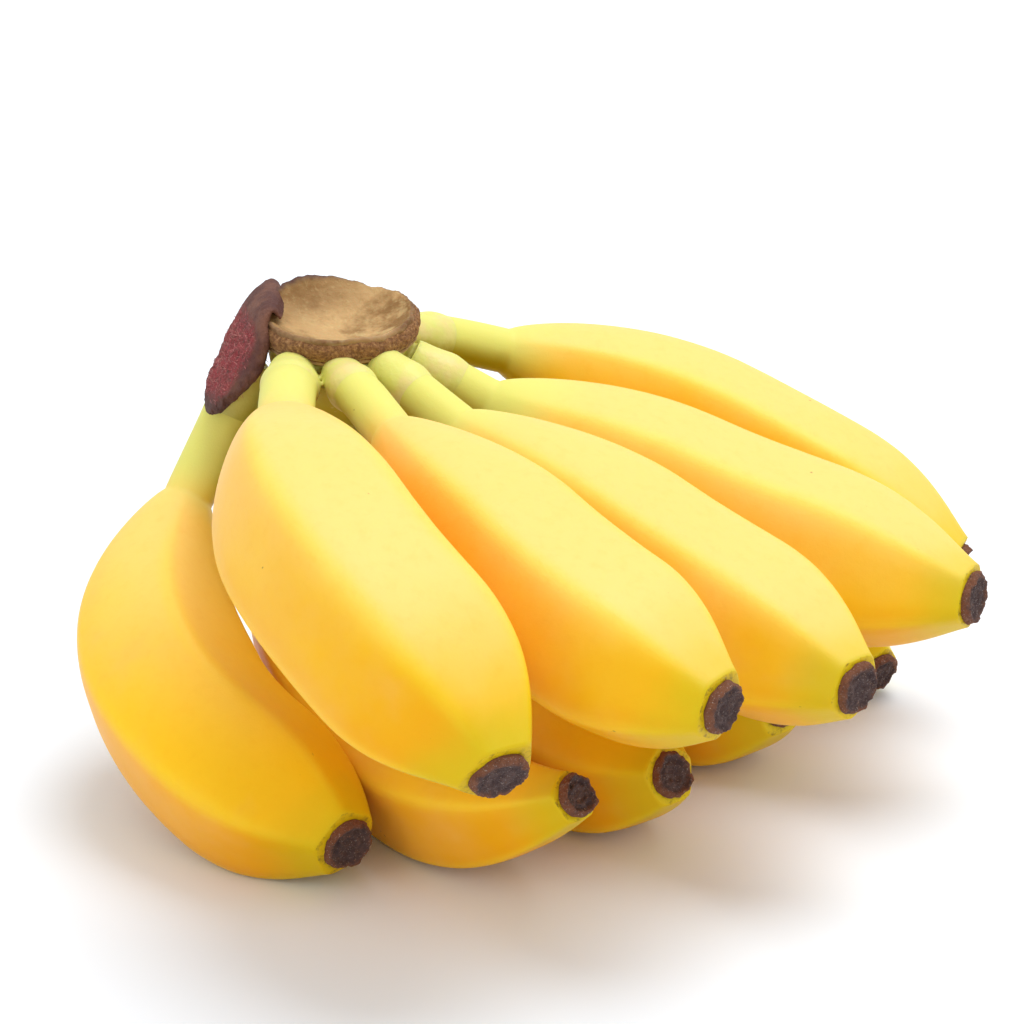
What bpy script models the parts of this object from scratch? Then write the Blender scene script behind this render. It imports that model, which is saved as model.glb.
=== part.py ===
"""A hand of ten plump bananas, lying under the crown that it was cut by.

Six fingers of an upper row and four of a lower row fan out from one crown. A finger grew as one fruit,
with its stalk and its dried flower end, so it is one solid. The crown is the cut cushion, with its
corky band and a dried flap at one side. The first upper finger and the lower row lie on the surface.

Metres, +Z up. The origin is on the surface, under the middle of the bunch.
"""

import math
from dataclasses import dataclass, replace

import bmesh
import bpy
from mathutils import Matrix, Vector

MM = 0.001
GAP = 0.3 * MM  # left between pieces that touch

# A finger's girth along its length. Shares are of its length or of its fullest radius.
STALK_SHARE = 0.18
STALK_ROOT_SHARE = 0.86
STALK_ROOT_END = 0.06
SWELL_END = 0.43
SWELL_POWER = 0.8
CLOSE_START = 0.66
CLOSE_POWER = 2.5
CLOSE_OUTER_POWER = 1.4
FLOWER_TURN_START = 0.78
FLOWER_END_SHARE = 0.31

# A finger's section: five soft ridges, which fade on the stalk.
RIDGES = 5
RIDGE_SHARPNESS = 7.0
RIDGE_MEAN = 1.053  # mean radius of that section, before it is scaled to the girth
SIDES = 15
RINGS = 26
WALK_STEPS = 100
UPRIGHT_SHARE = 0.6  # where along a finger its first ridge is set to point up

# The crown, in its own frame, with the cut face looking along +Z.
CROWN_CENTRE = Vector((-38, 40, 87)) * MM
CROWN_TILT = math.radians(12)  # the cut face leans to the front
CROWN_DEPTH_SHARE = 0.9  # front to back, as a share of its width
CROWN_TURNS = 36
# Radius and height of its turned outline, from the middle of the cut face to the underside.
CROWN_PROFILE = (
    (0, -4.5),
    (6, -4),
    (11, -2.2),
    (13.5, 0),
    (14.6, 0.4),
    (14.9, -1.5),
    (15.6, -2.2),
    (16, -3.6),
    (15.4, -5),
    (14.6, -6),
    (15, -10),
    (15, -15),
    (13.5, -20),
    (9, -23.5),
    (0, -25),
)
SOCKET_SHARE = 0.2  # how much of a finger its socket's cutter follows

# The dried flap: middle, width and thickness of its sections, down from the rim of the cut face.
# The middles are from the middle of the cut face.
FLAP_SECTIONS = (
    ((-10, 3, 1.5), 9, 3.5),
    ((-15, 0, 1), 14, 5),
    ((-19, -3, -4), 16, 5),
    ((-21, -5, -10), 15, 4.5),
    ((-23.5, -6, -16), 11, 3.5),
    ((-25, -6.5, -19), 6, 2),
)
FLAP_ACROSS = Vector((0.42, -0.91, 0)).normalized()
FLAP_SIDES = 12

SKIN_COLOUR = (0.86, 0.58, 0.06, 1)
CORK_COLOUR = (0.42, 0.27, 0.13, 1)


@dataclass
class Finger:
    """One banana. Its ways are a heading and a pitch each, and it bends smoothly from one to the next."""

    name: str
    root: tuple  # millimetres from the middle of the cut face
    stalk_way: tuple
    middle_way: tuple
    tip_way: tuple
    length: float  # millimetres along its middle, stalk included
    girth: float  # radius where it is fullest, millimetres
    taper: float  # above 1 the fullest place moves to the flower end
    stalk: float = 4.6  # radius, millimetres
    roll: float = 0  # degrees that its ridges are turned
    on_surface: bool = False
    flower_way: tuple = ()  # where its last stretch turns to, if it turns once more


FINGERS = (
    Finger("upper_finger_1", (-19, 3, -10), (-162, -72), (-69, -4), (-12, -23), 130, 16.5, 1.18, 5.0,
           on_surface=True, flower_way=(-54, -8)),
    Finger("upper_finger_2", (-9, -10, -7), (-89, -5), (-95, 7), (-10, -53), 135, 17.5, 1.22, 5.4,
           roll=36, flower_way=(-66, -30)),
    Finger("upper_finger_3", (0, -11, -9), (-71, -4), (-53, -29), (-38, -5), 126, 16.2, 1.17, roll=36),
    Finger("upper_finger_4", (8, -8, -9), (-46, -19), (-27, -29), (-47, -3), 122, 16.0, 1.02, roll=36),
    Finger("upper_finger_5", (13, -1, -10), (-5, -30), (-25, -20), (-29, 1), 124, 16.6, 0.88, roll=36),
    Finger("upper_finger_6", (11, 8, -8), (49, -18), (-47, -21), (-20, -22), 131, 14.0, 1.06, roll=36),
    Finger("lower_finger_1", (-13, -1, -20), (-79, -86), (-56, -9), (-43, 33), 139, 13.0, 0.74, 4.3,
           on_surface=True),
    Finger("lower_finger_2", (-5, -1, -20), (-13, -56), (-64, -46), (-47, 25), 118, 14.8, 1.06, 4.3,
           on_surface=True),
    Finger("lower_finger_3", (3, 3, -20), (35, -66), (-44, -29), (-46, 17), 121, 15.4, 1.4, 4.3,
           on_surface=True),
    Finger("lower_finger_4", (10, 8, -19), (60, -59), (-1, -5), (-51, -21), 135, 15.2, 0.85, 4.3,
           on_surface=True),
)


def clamp(value):
    return min(max(value, 0.0), 1.0)


def girth_at(finger, share):
    """The finger's mean radius at a share of its length, in metres."""
    body = (share**finger.taper - STALK_SHARE) / (1 - STALK_SHARE)
    swell = math.sin(math.pi / 2 * clamp(body / SWELL_END)) ** SWELL_POWER
    closing = clamp((body - CLOSE_START) / (1 - CLOSE_START))
    fullness = (1 - closing**CLOSE_POWER) ** CLOSE_OUTER_POWER
    stalk = finger.stalk * (
        STALK_ROOT_SHARE + (1 - STALK_ROOT_SHARE) * clamp(share / STALK_ROOT_END)
    )
    full = finger.girth * (FLOWER_END_SHARE + (1 - FLOWER_END_SHARE) * fullness)
    return (stalk + (full - stalk) * swell) * MM, swell


def ridged(angle, swell):
    """The section's radius at an angle from its first ridge, as a share of the mean radius."""
    total = 0
    for side in range(RIDGES):
        face = math.tau * (side + 0.5) / RIDGES
        total += max(0.0, math.cos(angle - face)) ** RIDGE_SHARPNESS
    five_sided = total ** (-1 / RIDGE_SHARPNESS) / RIDGE_MEAN
    return 1 + (five_sided - 1) * swell


def direction(finger, share):
    """The way the finger points at a share of its length."""
    ways = (finger.stalk_way, finger.middle_way, finger.tip_way)
    weights = ((1 - share) ** 2, 2 * share * (1 - share), share**2)
    heading, pitch = (sum(weight * way[k] for weight, way in zip(weights, ways)) for k in (0, 1))
    if finger.flower_way:
        turned = max((share - FLOWER_TURN_START) / (1 - FLOWER_TURN_START), 0) ** 1.5
        heading += turned * (finger.flower_way[0] - heading)
        pitch += turned * (finger.flower_way[1] - pitch)
    heading, pitch = math.radians(heading), math.radians(pitch)
    level = math.cos(pitch)
    return Vector((level * math.cos(heading), level * math.sin(heading), math.sin(pitch)))


def root_of(finger):
    return CROWN_CENTRE + Vector(finger.root) * MM


def walk(finger):
    """Points along the middle of the finger, from its root to its flower end."""
    step = finger.length * MM / WALK_STEPS
    points = [root_of(finger)]
    for i in range(WALK_STEPS):
        points.append(points[-1] + direction(finger, (i + 0.5) / WALK_STEPS) * step)
    return points


def side_vectors(tangents, upright):
    """A vector across each ring, level at the upright ring and carried from it without twisting."""
    sides = [None] * len(tangents)
    sides[upright] = tangents[upright].cross(Vector((0, 0, 1))).normalized()
    for i in range(upright + 1, len(tangents)):
        sides[i] = tangents[i - 1].rotation_difference(tangents[i]) @ sides[i - 1]
    for i in range(upright - 1, -1, -1):
        sides[i] = tangents[i + 1].rotation_difference(tangents[i]) @ sides[i + 1]
    return sides


def finger_rings(finger, rings=RINGS, last_share=1.0, grow=0.0):
    """Rings of points round the finger, from its root to a share of its length.

    They lie closer together near both ends, where the girth changes fastest.
    """
    points = walk(finger)
    shares = []
    for i in range(rings):
        even = i / (rings - 1)
        eased = (1 - math.cos(math.pi * even)) / 2
        shares.append((even + eased) / 2 * last_share)
    upright = min(range(rings), key=lambda i: abs(shares[i] - UPRIGHT_SHARE))
    tangents = [direction(finger, share) for share in shares]
    made = []
    for share, tangent, side in zip(shares, tangents, side_vectors(tangents, upright)):
        nearest = min(int(share * WALK_STEPS), WALK_STEPS - 1)
        middle = points[nearest].lerp(points[nearest + 1], share * WALK_STEPS - nearest)
        up = side.cross(tangent)
        radius, swell = girth_at(finger, share)
        ring = []
        for k in range(SIDES):
            angle = math.tau * k / SIDES
            turned = angle + math.radians(finger.roll)
            reach = radius * ridged(angle, swell) + grow
            ring.append(middle + (up * math.cos(turned) + side * math.sin(turned)) * reach)
        made.append(ring)
    return made


def settled(finger):
    """The finger, moved straight up or down until it just touches the surface if it lies there."""
    if not finger.on_surface:
        return finger
    lowest = min(point.z for ring in finger_rings(finger) for point in ring)
    x, y, z = finger.root
    return replace(finger, root=(x, y, z - lowest / MM))


def loft(name, rings, origin):
    """A closed body through rings of points, with a flat face on each end and its origin at a point."""
    body = bmesh.new()
    loops = [[body.verts.new(point - origin) for point in ring] for ring in rings]
    for near, far in zip(loops, loops[1:]):
        for i in range(len(near)):
            j = (i + 1) % len(near)
            body.faces.new((near[i], near[j], far[j], far[i]))
    body.faces.new(loops[0])
    body.faces.new(loops[-1])
    bmesh.ops.recalc_face_normals(body, faces=body.faces)
    mesh = bpy.data.meshes.new(name)
    body.to_mesh(mesh)
    body.free()
    mesh.shade_smooth()
    mesh.set_sharp_from_angle(angle=math.radians(40))
    made = bpy.data.objects.new(name, mesh)
    made.location = origin
    return made


def make_socket_cutter(finger):
    """The finger's stalk, grown by the gap on its sides and at its root."""
    rings = finger_rings(finger, rings=8, last_share=SOCKET_SHARE, grow=GAP)
    back = direction(finger, 0) * GAP
    rings[0] = [point - back for point in rings[0]]
    return loft(finger.name + "_socket", rings, root_of(finger))


def make_flap():
    """The dried flap, from the rim of the cut face down over the first stalk."""
    rings = []
    middles = [CROWN_CENTRE + Vector(middle) * MM for middle, _, _ in FLAP_SECTIONS]
    for i, (_, width, thickness) in enumerate(FLAP_SECTIONS):
        along = (middles[min(i + 1, len(middles) - 1)] - middles[max(i - 1, 0)]).normalized()
        outward = FLAP_ACROSS.cross(along).normalized()
        ring = []
        for k in range(FLAP_SIDES):
            angle = math.tau * k / FLAP_SIDES
            across = FLAP_ACROSS * (math.cos(angle) * width / 2 * MM)
            ring.append(middles[i] + across + outward * (math.sin(angle) * thickness / 2 * MM))
        rings.append(ring)
    return loft("flap", rings, middles[0])


def make_crown(fingers, cutters):
    """The cushion turned about its cut face, joined to the flap and cut by a socket for each stalk."""
    outline = bmesh.new()
    points = [outline.verts.new((radius * MM, 0, height * MM)) for radius, height in CROWN_PROFILE]
    for near, far in zip(points, points[1:]):
        outline.edges.new((near, far))
    mesh = bpy.data.meshes.new("crown")
    outline.to_mesh(mesh)
    outline.free()
    crown = bpy.data.objects.new("crown", mesh)
    crown.matrix_world = (
        Matrix.Translation(CROWN_CENTRE)
        @ Matrix.Rotation(CROWN_TILT, 4, "X")
        @ Matrix.Diagonal((1, CROWN_DEPTH_SHARE, 1, 1))
    )
    screw = crown.modifiers.new("turned", "SCREW")
    screw.steps = CROWN_TURNS
    screw.render_steps = CROWN_TURNS
    screw.use_merge_vertices = True
    screw.merge_threshold = 0.0001
    join(crown, make_flap(), "UNION", cutters)
    for finger in fingers:
        join(crown, make_socket_cutter(finger), "DIFFERENCE", cutters)
    return crown


def join(target, tool, operation, cutters):
    """Adds a Boolean by a helper object, which is kept out of the renders."""
    cutters.objects.link(tool)
    tool.hide_render = True
    tool.display_type = "WIRE"
    boolean = target.modifiers.new(tool.name, "BOOLEAN")
    boolean.operation = operation
    boolean.object = tool


def make_material(name, colour, roughness):
    material = bpy.data.materials.new(name)
    material.use_nodes = True
    shader = material.node_tree.nodes["Principled BSDF"]
    shader.inputs["Base Color"].default_value = colour
    shader.inputs["Roughness"].default_value = roughness
    shader.inputs["Metallic"].default_value = 0
    return material


def make_collection(name, hidden=False):
    collection = bpy.data.collections.new(name)
    collection.hide_render = hidden
    bpy.context.scene.collection.children.link(collection)
    return collection


def main():
    for old in list(bpy.data.objects):
        bpy.data.objects.remove(old)
    bananas = make_collection("banana_bunch")
    cutters = make_collection("cutters", hidden=True)

    fingers = [settled(finger) for finger in FINGERS]
    crown = make_crown(fingers, cutters)
    crown.data.materials.append(make_material("crown_cork", CORK_COLOUR, 0.85))
    bananas.objects.link(crown)
    for finger in fingers:
        banana = loft(finger.name, finger_rings(finger), root_of(finger))
        banana.data.materials.append(make_material(finger.name + "_skin", SKIN_COLOUR, 0.45))
        bananas.objects.link(banana)


main()
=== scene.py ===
"""The looks of a hand of ten plump bananas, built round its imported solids.

Every banana is a skin that a Geometry Nodes tree grows along the banana's own middle line, and a dried
flower end. The crown is a cut cushion with a corky band, a base that the stalks grow out of, and a
dried flap with torn fibres. Metres, +Z up, in the frame of the solids.
"""

import math
from typing import NamedTuple

import bmesh
import bpy
import numpy as np
from mathutils import Matrix, Vector, noise


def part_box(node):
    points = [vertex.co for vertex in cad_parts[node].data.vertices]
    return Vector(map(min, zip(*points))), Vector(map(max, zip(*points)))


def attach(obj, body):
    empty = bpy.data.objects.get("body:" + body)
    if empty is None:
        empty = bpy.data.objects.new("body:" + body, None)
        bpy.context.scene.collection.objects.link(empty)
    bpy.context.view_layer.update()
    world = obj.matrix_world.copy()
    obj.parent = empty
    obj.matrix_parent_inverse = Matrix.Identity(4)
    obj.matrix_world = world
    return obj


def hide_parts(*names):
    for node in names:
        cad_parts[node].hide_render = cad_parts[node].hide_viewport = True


bl_info = {
    "name": "Banana hand",
    "version": (1, 0, 0),
    "blender": (4, 5, 0),
    "location": "3D View > Sidebar > Bananas",
    "description": "Builds the skins, dried ends, crown and stage of a hand of bananas",
    "category": "Add Mesh",
}

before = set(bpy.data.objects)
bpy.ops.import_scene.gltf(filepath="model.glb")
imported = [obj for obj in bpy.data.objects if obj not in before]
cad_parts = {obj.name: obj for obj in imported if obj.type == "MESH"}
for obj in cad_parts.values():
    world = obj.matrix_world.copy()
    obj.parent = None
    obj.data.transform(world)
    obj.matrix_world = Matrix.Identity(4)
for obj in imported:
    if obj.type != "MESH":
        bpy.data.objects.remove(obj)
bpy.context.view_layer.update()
MM = 0.001

# A banana's girth along its length. Shares are of its length or of its fullest radius.
STALK_SHARE = 0.18
STALK_ROOT_SHARE = 0.86
STALK_ROOT_END = 0.06
SWELL_END = 0.43
SWELL_POWER = 0.8
CLOSE_START = 0.66
CLOSE_POWER = 2.5
CLOSE_OUTER_POWER = 1.4
FLOWER_END_SHARE = 0.31

# A banana's section: five soft ridges, which fade on the stalk.
RIDGES = 5
RIDGE_SHARPNESS = 7.0
RIDGE_MEAN = 1.053
UPRIGHT_SHARE = 0.6

SKIN_RINGS = 190
SKIN_SIDES = 90
SKIN_END_SHARE = 0.982  # the skin closes under the dried end from here on
CAP_RINGS = 6
CAP_BULGE = 0.2  # how far that closing stands out, as a share of the distance between rings
RIDGE_WANDER = 0.16  # radians that the ridges stray from even places
RIDGE_LINE_WIDTH = 0.19  # radians from a ridge to the edge of its fine line
LUMP_REACH = 12 * MM  # radius of the circle through the noise that a ring's lumps are read from


class Banana(NamedTuple):
    """Its ways are a heading and a pitch each, in degrees. Its lengths are in millimetres."""

    stalk_way: tuple
    middle_way: tuple
    tip_way: tuple
    length: float  # along its middle, stalk included
    girth: float  # radius where it is fullest
    taper: float  # above 1 the fullest place moves to the flower end
    stalk: float = 4.6  # radius


# The same lines and girths as the solids.
BANANAS = {
    "upper_finger_1": Banana((-162, -72), (-69, -4), (-12, -23), 130, 16.5, 1.18, 5.0),
    "upper_finger_2": Banana((-89, -5), (-95, 7), (-10, -53), 135, 17.5, 1.22, 5.4),
    "upper_finger_3": Banana((-71, -4), (-53, -29), (-38, -5), 126, 16.2, 1.17),
    "upper_finger_4": Banana((-46, -19), (-27, -29), (-47, -3), 122, 16.0, 1.02),
    "upper_finger_5": Banana((-5, -30), (-25, -20), (-29, 1), 124, 16.6, 0.88),
    "upper_finger_6": Banana((49, -18), (-47, -21), (-20, -22), 131, 14.0, 1.06),
    "lower_finger_1": Banana((-79, -86), (-56, -9), (-43, 33), 139, 13.0, 0.74, 4.3),
    "lower_finger_2": Banana((-13, -56), (-64, -46), (-47, 25), 118, 14.8, 1.06, 4.3),
    "lower_finger_3": Banana((35, -66), (-44, -29), (-46, 17), 121, 15.4, 1.4, 4.3),
    "lower_finger_4": Banana((60, -59), (-1, -5), (-51, -21), 135, 15.2, 0.85, 4.3),
}

# Two bananas turn once more on their last stretch, to these ways.
FLOWER_TURN_START = 0.78
FLOWER_TURN_POWER = 1.5
FLOWER_WAYS = {"upper_finger_1": (-54, -8), "upper_finger_2": (-66, -30)}
# These bananas have a face on top, where the others have a ridge.
TURNED_BANANAS = [f"upper_finger_{number}" for number in range(2, 7)]
# These stalks start lower than a plain walk would, to pass under the corky band.
ROOT_DIPS = {"upper_finger_2": 2.8 * MM, "upper_finger_3": 1.2 * MM}
ROOT_DIP_START = 0.02  # the dip is full up to this share of the length, and gone at the root's end
ROOT_END = 0.14  # the root of a stalk, which the crown's base covers, ends at this share

# The swollen joint of a root: the share where it is fullest, how far it spreads, how far it swells.
JOINT_SHARE = 0.06
JOINT_SPREAD = 0.02
JOINT_SWELL = 0.35  # millimetres
ROOT_SKIN = 0.15  # millimetres that the base covers a stalk by
ROOT_SUNK = 0.9  # millimetres that its end sinks into the stalk
ROOT_SINKING = (0.07, 0.13)  # shares between which it sinks
ROOT_SIDES = 48
BASE_VOXEL = 0.45 * MM
LEVEL_HEIGHT = 20 * MM  # over which the base turns from its lower colours, a painted shade of darker olive, to its upper colours

# The crown, in its own frame, with the cut face looking along +Z.
CROWN_RADIUS = 16
# From the middle of the cut face to the highest corner of the solid's box.
CROWN_TOP_REACH = Vector((CROWN_RADIUS, 16.32, 3.24)) * MM
CROWN_TILT = math.radians(12)
CROWN_DEPTH_SHARE = 0.9
# Radius and height, in millimetres, from the middle of the cut face to the underside.
CUT_OUTLINE = ((0, -4.6), (3, -4.5), (6, -4.0), (9, -3.1), (11.6, -1.7), (13.2, -0.5), (13.9, 0.15),
               (14.4, 0.35), (14.8, 0.05), (14.9, -0.6), (14.6, -2), (13.6, -5), (9, -6.6), (0, -7))
BAND_OUTLINE = ((14.3, -0.5), (14.9, -0.55), (15.4, -0.9), (15.8, -1.5), (16.0, -2.4), (15.9, -3.3),
                (15.6, -3.9), (15.35, -4.1), (15.45, -4.35), (15.5, -4.7), (15.2, -5.1), (14.4, -5.4),
                (13.4, -5.2))
BASE_OUTLINE = ((0, -8), (9, -7.4), (13, -5.6), (14.4, -5.3), (14.5, -6.6), (14.2, -9), (13.6, -13),
                (12.4, -18), (9, -22.5), (4, -24.6), (0, -25))

# The pale lines of the band: height and reach in millimetres, and strength.
BAND_LINES = ((-4.7, 0.5, 1.0), (-3.7, 0.25, 0.7))

# The dried flap, in millimetres: middle, width and thickness of its sections, down from the rim.
FLAP_SECTIONS = (
    ((-11.6, 5.0, -1.0), 17, 1.4),
    ((-13.4, 4.8, 0.9), 19.5, 2.4),
    ((-15.8, 2.6, -1.2), 19.5, 3.4),
    ((-17.2, 0.0, -5.2), 19, 4.6),
    ((-19.6, -2.6, -10.2), 17, 5.0),
    ((-22.9, -4.8, -15.0), 12.5, 3.8),
    ((-24.8, -6.0, -18.2), 7.4, 2.4),
    ((-25.4, -6.4, -19.8), 2.6, 1.0),
)
# Along its width, at its root and at its end.
FLAP_ACROSS = (Vector((0.05, -1, 0)), Vector((0.42, -0.91, 0)))
FLAP_TURN_START = 0.1  # shares of its length, between which its width turns to the end's way
FLAP_TURN_END = 0.6
FLAP_RAGS = 0.9 * MM  # how far its sides are ragged
FLAP_RAG_SIZE = 3.2 * MM
FLAP_CRUST_SIZE = 1.0 * MM
TORN_PATCH = ((0.3, 0.42), (0.72, 0.85))  # shares of its length where the patch starts and ends
FLAP_RAGGED = (0.2, 0.8)  # shares of its length between which its sides grow ragged
FIBRE_THICKNESS = 0.06 * MM
FIBRE_LEAN = 1.5  # radians, at most, to any side
FIBRE_SPIN = 6.28
FIBRE_SIZES = (0.4, 1.2)  # shares of the fibre length
FLAP_ROUNDNESS = 0.8  # the power of its section: 1 is an ellipse, less is squarer

# Where the cut rim rises or dips: the angle round the crown, its spread in degrees, its millimetres.
RIM_RISES = ((128, 34, 1.3), (265, 62, 0.9), (66, 24, -1.5))
RIM_LOWERED = 0.9  # millimetres that the whole rim is lowered by
RIM_WAVE_RATE = 2.2  # a higher one gives more and shorter waves
RIM_FRAYING = 0.35 * MM
RIM_FRAY_DEGREES = 9.0  # from one fray to the next
RIM_START = 8  # radius, in millimetres, from which the rim's waves are felt
CRUST_SIZE = 2.2 * MM  # of the hollows and swellings of the cut face, the band and the base
CUT_CRUST = 0.28 * MM  # their heights
BAND_CRUST = 0.3 * MM
BASE_CRUST = 0.15 * MM
CUT_RIM_RADIUS = 14.4  # radius, in millimetres, from which the rim's waves are felt in full
BAND_RIM_RADIUS = 15.6
PAINTED_SHADE_ANGLE = 125  # the side of the cut face with painted shade, and how far round it goes
PAINTED_SHADE_SPREAD = 62
RIM_DARK = (14.0, 14.35)  # radii, in millimetres, between which the cut darkens to its rim
RIM_DARK_WIDER = 0.9  # millimetres further in that it starts on the side with painted shade
PAINTED_SHADE_RADII = (3, 11)
AXIS_RADIUS = 0.05 * MM  # keeps rings open where an outline meets the axis

AIM_POINT = Vector((-4, 37, 45)) * MM
CAMERA_PITCH = math.radians(22)
CAMERA_DISTANCE = 0.7
CAMERA_LENS = 123.05

WORLD_COLOUR = (1, 0.995, 0.985, 1)
WORLD_STRENGTH = 0.8
# Round lights: where each stands, where it points, its width and its power in watts.
LIGHTS = {
    "overhead": ((0.3, 0.25, 1.3), (0, 0, 0.03), 1.0, 11.5),
    "left_fill": ((-1.0, -0.8, 0.5), (0, 0, 0.04), 0.9, 2),
}


def clamp(value):
    return min(max(value, 0.0), 1.0)


def smoothstep(value, start, end):
    t = clamp((value - start) / (end - start))
    return t * t * (3 - 2 * t)


def paint(red, green, blue):
    """A display colour, 0 to 255, as the linear colour that shaders take."""
    return tuple(
        value / 12.92 / 255 if value < 10.31 else ((value / 255 + 0.055) / 1.055) ** 2.4
        for value in (red, green, blue)
    )


# ---------------------------------------------------------------------------------------------
# Node trees, written as expressions


class Wire:
    """A socket of a node tree. Arithmetic on it adds Math nodes, or Vector Math nodes for a vector."""

    def __init__(self, tree, socket=None):
        self.tree = tree
        self.socket = socket

    def node(self, kind, settings=None, sockets=None, out=0):
        """Adds a node: its settings first, then the values or links of its sockets."""
        made = self.tree.nodes.new(kind)
        for name, value in (settings or {}).items():
            setattr(made, name, value)
        for name, value in (sockets or {}).items():
            if isinstance(value, Wire):
                self.tree.links.new(value.socket, made.inputs[name])
            else:
                made.inputs[name].default_value = value
        return Wire(self.tree, made.outputs[out])

    def maths(self, operation, *values):
        kind = "ShaderNodeMath"
        if any(isinstance(value, Wire) and value.socket.type == "VECTOR" for value in values):
            kind = "ShaderNodeVectorMath"
        return self.node(kind, {"operation": operation}, dict(enumerate(values)))

    def __add__(self, other):
        return self.maths("ADD", self, other)

    def __radd__(self, other):
        return self.maths("ADD", other, self)

    def __sub__(self, other):
        return self.maths("SUBTRACT", self, other)

    def __rsub__(self, other):
        return self.maths("SUBTRACT", other, self)

    def __mul__(self, other):
        return self.maths("MULTIPLY", self, other)

    def __rmul__(self, other):
        return self.maths("MULTIPLY", other, self)

    def __truediv__(self, other):
        return self.maths("DIVIDE", self, other)

    def __pow__(self, other):
        return self.maths("POWER", self, other)

    def sized(self, factor):
        """A vector times a number."""
        return self.node(
            "ShaderNodeVectorMath", {"operation": "SCALE"}, {"Vector": self, "Scale": factor}
        )

    def least(self, other):
        return self.maths("MINIMUM", self, other)

    def most(self, other):
        return self.maths("MAXIMUM", self, other)

    def clamped(self):
        return self.least(1.0).most(0.0)

    def rise(self, start, end):
        """0 before start, 1 after end, and smooth between them. It falls where start is above end."""
        return self.node(
            "ShaderNodeMapRange",
            {"interpolation_type": "SMOOTHSTEP"},
            {"Value": self, "From Min": start, "From Max": end},
        )

    def noise(self, scale, detail=2.0, roughness=0.5, seed=None, out=0):
        sockets = {"Vector": self, "Scale": scale, "Detail": detail, "Roughness": roughness}
        settings = {}
        if seed is not None:
            settings["noise_dimensions"] = "4D"
            sockets["W"] = seed
        return self.node("ShaderNodeTexNoise", settings, sockets, out)

    def part(self, axis):
        """The x, y or z of a vector, for an axis of 0, 1 or 2."""
        return self.node("ShaderNodeSeparateXYZ", None, {"Vector": self}, out=axis)


def layered(board, colour, *layers):
    """A colour with others laid over it, each by its factor. Colours are wires or linear triples."""
    for factor, over in layers:
        sockets = {0: factor}
        for index, value in ((6, colour), (7, over)):
            sockets[index] = value if isinstance(value, Wire) else (*value, 1)
        colour = board.node("ShaderNodeMix", {"data_type": "RGBA"}, sockets, out=2)
    return colour


def attribute(board, name):
    return board.node("ShaderNodeAttribute", {"attribute_name": name}, out=2)


def new_material(name):
    """A material, its Principled BSDF, and an empty wire that starts expressions in it."""
    material = bpy.data.materials.new(name)
    material.use_nodes = True
    return material, material.node_tree.nodes["Principled BSDF"], Wire(material.node_tree)


def feed(shader, **sockets):
    for name, value in sockets.items():
        target = shader.inputs[name.replace("_", " ")]
        if isinstance(value, Wire):
            shader.id_data.links.new(value.socket, target)
        else:
            target.default_value = value


def bumped(board, height, strength, distance):
    return board.node(
        "ShaderNodeBump", None, {"Height": height, "Strength": strength, "Distance": distance}
    )


# ---------------------------------------------------------------------------------------------
# Sizes and colours


def colour_property(name, description, default):
    return bpy.props.FloatVectorProperty(
        name=name, description=description, default=default, subtype="COLOR", size=3, min=0, max=1
    )


def length_property(name, description, default):
    return bpy.props.FloatProperty(
        name=name, description=description, default=default, subtype="DISTANCE", unit="LENGTH"
    )


class BananaSkinLook(bpy.types.PropertyGroup):
    """The skin of the bananas."""

    ridge_line: length_property("Ridge line", "Height of the fine line along each ridge", 0.22 * MM)
    unevenness: length_property("Unevenness", "Soft hollows and swellings of the skin", 0.45 * MM)
    ripe: colour_property("Ripe yellow", "Most of the skin", paint(252, 198, 26))
    # A painted highlight: this pale yellow is laid on the upward faces of the upper bananas.
    pale: colour_property("Pale yellow", "Upper faces", paint(255, 213, 128))
    # Painted shade: this deeper orange yellow is laid on faces turned down. It is also used for the
    # skin's own fine mottling.
    deep: colour_property("Deep yellow", "Lower faces and hollows", paint(237, 162, 0))
    # Real faint warm blotches, plus painted light: a pale warm tint on faces turned to the left.
    blush_and_left_tint: colour_property("Blush", "Faint warm blotches", paint(248, 186, 96))
    lime: colour_property("Lime", "Stalks", paint(222, 222, 118))
    # Painted shade: this olive is laid on the stalks' faces turned down.
    olive: colour_property("Olive", "Undersides of the stalks", paint(166, 150, 24))
    tip_green: colour_property("Tip green", "Round the flower end", paint(196, 190, 20))
    fleck: colour_property("Fleck", "Small dry flecks", paint(96, 58, 30))


class DriedPartsLook(bpy.types.PropertyGroup):
    """The crown, its flap and the dried flower ends."""

    stub_length: length_property("Stub length", "How far a dried flower end stands out", 2.0 * MM)
    rim_waves: length_property("Rim waves", "Height of the waves of the cut rim", 0.5 * MM)
    fibre_length: length_property("Fibre length", "Torn fibres of the flap", 0.9 * MM)
    fibre_count: bpy.props.IntProperty(
        name="Fibres", description="Torn fibres on the flap", default=3600, min=0
    )
    fresh_pale: colour_property("Fresh pale", "Roots of the stalks, from above", paint(222, 220, 118))
    # Painted shade: the darker root colour on faces turned down.
    root_painted_shade: colour_property("Fresh dark", "Roots of the stalks, from below", paint(170, 152, 36))
    cut_tan: colour_property("Cut tan", "Dried cut face", paint(196, 158, 104))
    # The cut's darker colour, also laid as painted shade on one side of the cut.
    cut_dark: colour_property("Cut olive", "Darker patches of the cut face", paint(136, 98, 46))
    cork: colour_property("Cork", "Corky band", paint(164, 118, 72))
    cork_pale: colour_property("Pale cork", "Dry edges of the band", paint(214, 176, 126))
    maroon: colour_property("Maroon", "Dried flap", paint(84, 42, 36))
    red_fibre: colour_property("Red fibre", "Torn patch of the flap", paint(158, 54, 60))
    stub_dark: colour_property("Stub dark", "Middle of a flower end", paint(74, 52, 50))
    stub_rim: colour_property("Stub rim", "Edge of a flower end", paint(124, 74, 48))


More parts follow.
